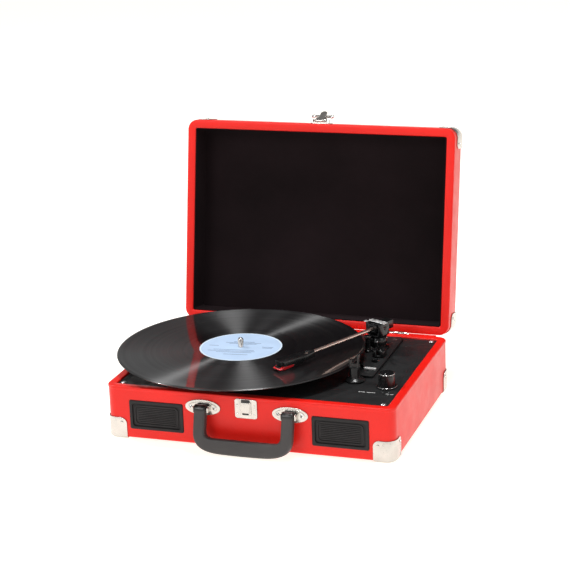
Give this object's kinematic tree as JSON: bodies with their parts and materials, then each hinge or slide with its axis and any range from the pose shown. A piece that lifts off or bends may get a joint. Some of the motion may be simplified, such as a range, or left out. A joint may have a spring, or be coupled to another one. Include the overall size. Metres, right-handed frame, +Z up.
{
  "type": "suitcase record player",
  "caption": "Portable belt-driven record player built into a small carrying case with a hinged lid, drop handle, draw latch, front speakers, tonearm, cue lever, switches and volume knob.",
  "frame": {"origin": "centre of the case's flat underside", "axes": "+X to the player's right, +Y to the back where the lid is hinged, +Z up"},
  "size_m": [0.3538, 0.3668, 0.3321],
  "materials": {
    "red_leatherette": "semi-gloss leatherette",
    "lining_fabric": "matt cloth-look lining paper",
    "deck_plastic": "fine texture",
    "black_plastic": "satin",
    "grip_plastic": "matt",
    "nickel": "bright nickel",
    "steel": "turned",
    "brass": "turned",
    "rubber": "matt",
    "platter_plastic": "satin",
    "rose_aluminium": "polished",
    "red_plastic": "gloss",
    "board_green": "solder mask"
  },
  "bodies": {
    "base": {"base_shell": "red_leatherette", "arm_rest": "black_plastic", "base_corner_back_left": "nickel", "base_corner_back_right": "nickel", "base_corner_front_left": "nickel", "base_corner_front_right": "nickel", "bearing_bush": "brass", "circuit_board": "board_green", "cue_housing": "black_plastic", "dc_socket": "black_plastic", "deck_panel": "deck_plastic", "deck_screw_back_left": "steel", "deck_screw_back_right": "steel", "deck_screw_front_left": "steel", "deck_screw_front_right": "steel", "drive_belt": "rubber", "foot_back_left": "rubber", "foot_back_right": "rubber", "foot_front_left": "rubber", "foot_front_right": "rubber", "handle_plate_left": "nickel", "handle_plate_right": "nickel", "hinge_base_leaf_left": "nickel", "hinge_base_leaf_right": "nickel", "latch_plate": "nickel", "lift_post": "black_plastic", "mechanism_plate": "deck_plastic", "motor": "steel", "rca_jacks": "nickel", "rear_panel": "black_plastic", "speaker_grille_left": "black_plastic", "speaker_grille_right": "black_plastic", "speaker_left": "black_plastic", "speaker_right": "black_plastic", "swivel_base": "black_plastic", "volume_pot": "steel"},
    "lid": {"lid_shell": "red_leatherette", "lid_lining": "lining_fabric", "hasp_base": "nickel", "hinge_lid_leaf_left": "nickel", "hinge_lid_leaf_right": "nickel", "lid_corner_front_left": "nickel", "lid_corner_front_right": "nickel", "lid_corner_back_left": "nickel", "lid_corner_back_right": "nickel"},
    "hasp": {"lid_hasp": "nickel"},
    "turntable": {"platter": "platter_plastic", "platter_mat": "rubber", "spindle": "steel"},
    "pulley": {"motor_pulley": "brass"},
    "arm_swivel": {"arm_fork": "black_plastic"},
    "tonearm": {"arm_carrier": "black_plastic", "arm_tube": "rose_aluminium", "headshell": "black_plastic", "cartridge": "red_plastic"},
    "cue": {"cue_lever": "black_plastic"},
    "speed": {"speed_switch": "nickel"},
    "autostop": {"autostop_switch": "black_plastic"},
    "volume": {"volume_knob": "black_plastic"},
    "carry_handle": {"handle": "grip_plastic"}
  },
  "joints": [
    {"name": "lid_hinge", "type": "hinge", "parent": "base", "child": "lid", "pos_m": [0, 0.1294, 0.064], "axis": [1, 0, 0], "range_deg": [0, 100]},
    {"name": "hasp_hinge", "type": "hinge", "parent": "lid", "child": "hasp", "pos_m": [0, 0.18323, 0.32035], "axis": [1, 0, 0], "range_deg": [0, 148]},
    {"name": "platter_spin", "type": "hinge", "parent": "base", "child": "turntable", "pos_m": [-0.0475, -0.01, 0.07], "axis": [0, 0, 1], "continuous": true},
    {"name": "motor_spin", "type": "hinge", "parent": "base", "child": "pulley", "pos_m": [-0.1, 0.058, 0.068], "axis": [0, 0, 1], "continuous": true},
    {"name": "tonearm_swing", "type": "hinge", "parent": "base", "child": "arm_swivel", "pos_m": [0.102, 0.068, 0.0915], "axis": [0, 0, 1], "range_deg": [-16, 27.3]},
    {"name": "tonearm_lift", "type": "hinge", "parent": "arm_swivel", "child": "tonearm", "pos_m": [0.102, 0.068, 0.0915], "axis": [-0.9026, 0.4305, 0], "range_deg": [0, 2]},
    {"name": "cue_lever_turn", "type": "hinge", "parent": "base", "child": "cue", "pos_m": [0.1125, 0.038, 0.0712], "axis": [-1, 0, 0], "range_deg": [0, 60]},
    {"name": "speed_slide", "type": "slide", "parent": "base", "child": "speed", "axis": [0, 1, 0], "range_m": [0, 0.01]},
    {"name": "autostop_slide", "type": "slide", "parent": "base", "child": "autostop", "axis": [0, 1, 0], "range_m": [0, 0.006]},
    {"name": "volume_turn", "type": "hinge", "parent": "base", "child": "volume", "pos_m": [0.1465, -0.054, 0.07], "axis": [0, 0, 1], "range_deg": [0, 300]},
    {"name": "handle_swing", "type": "hinge", "parent": "base", "child": "carry_handle", "pos_m": [0, -0.1356, 0.047], "axis": [-1, 0, 0], "range_deg": [0, 80]}
  ],
  "couplings": [
    {"joint": "motor_spin", "follows": "platter_spin", "ratio": 15.111},
    {"joint": "cue_lever_turn", "follows": "tonearm_lift", "ratio": 30}
  ]
}
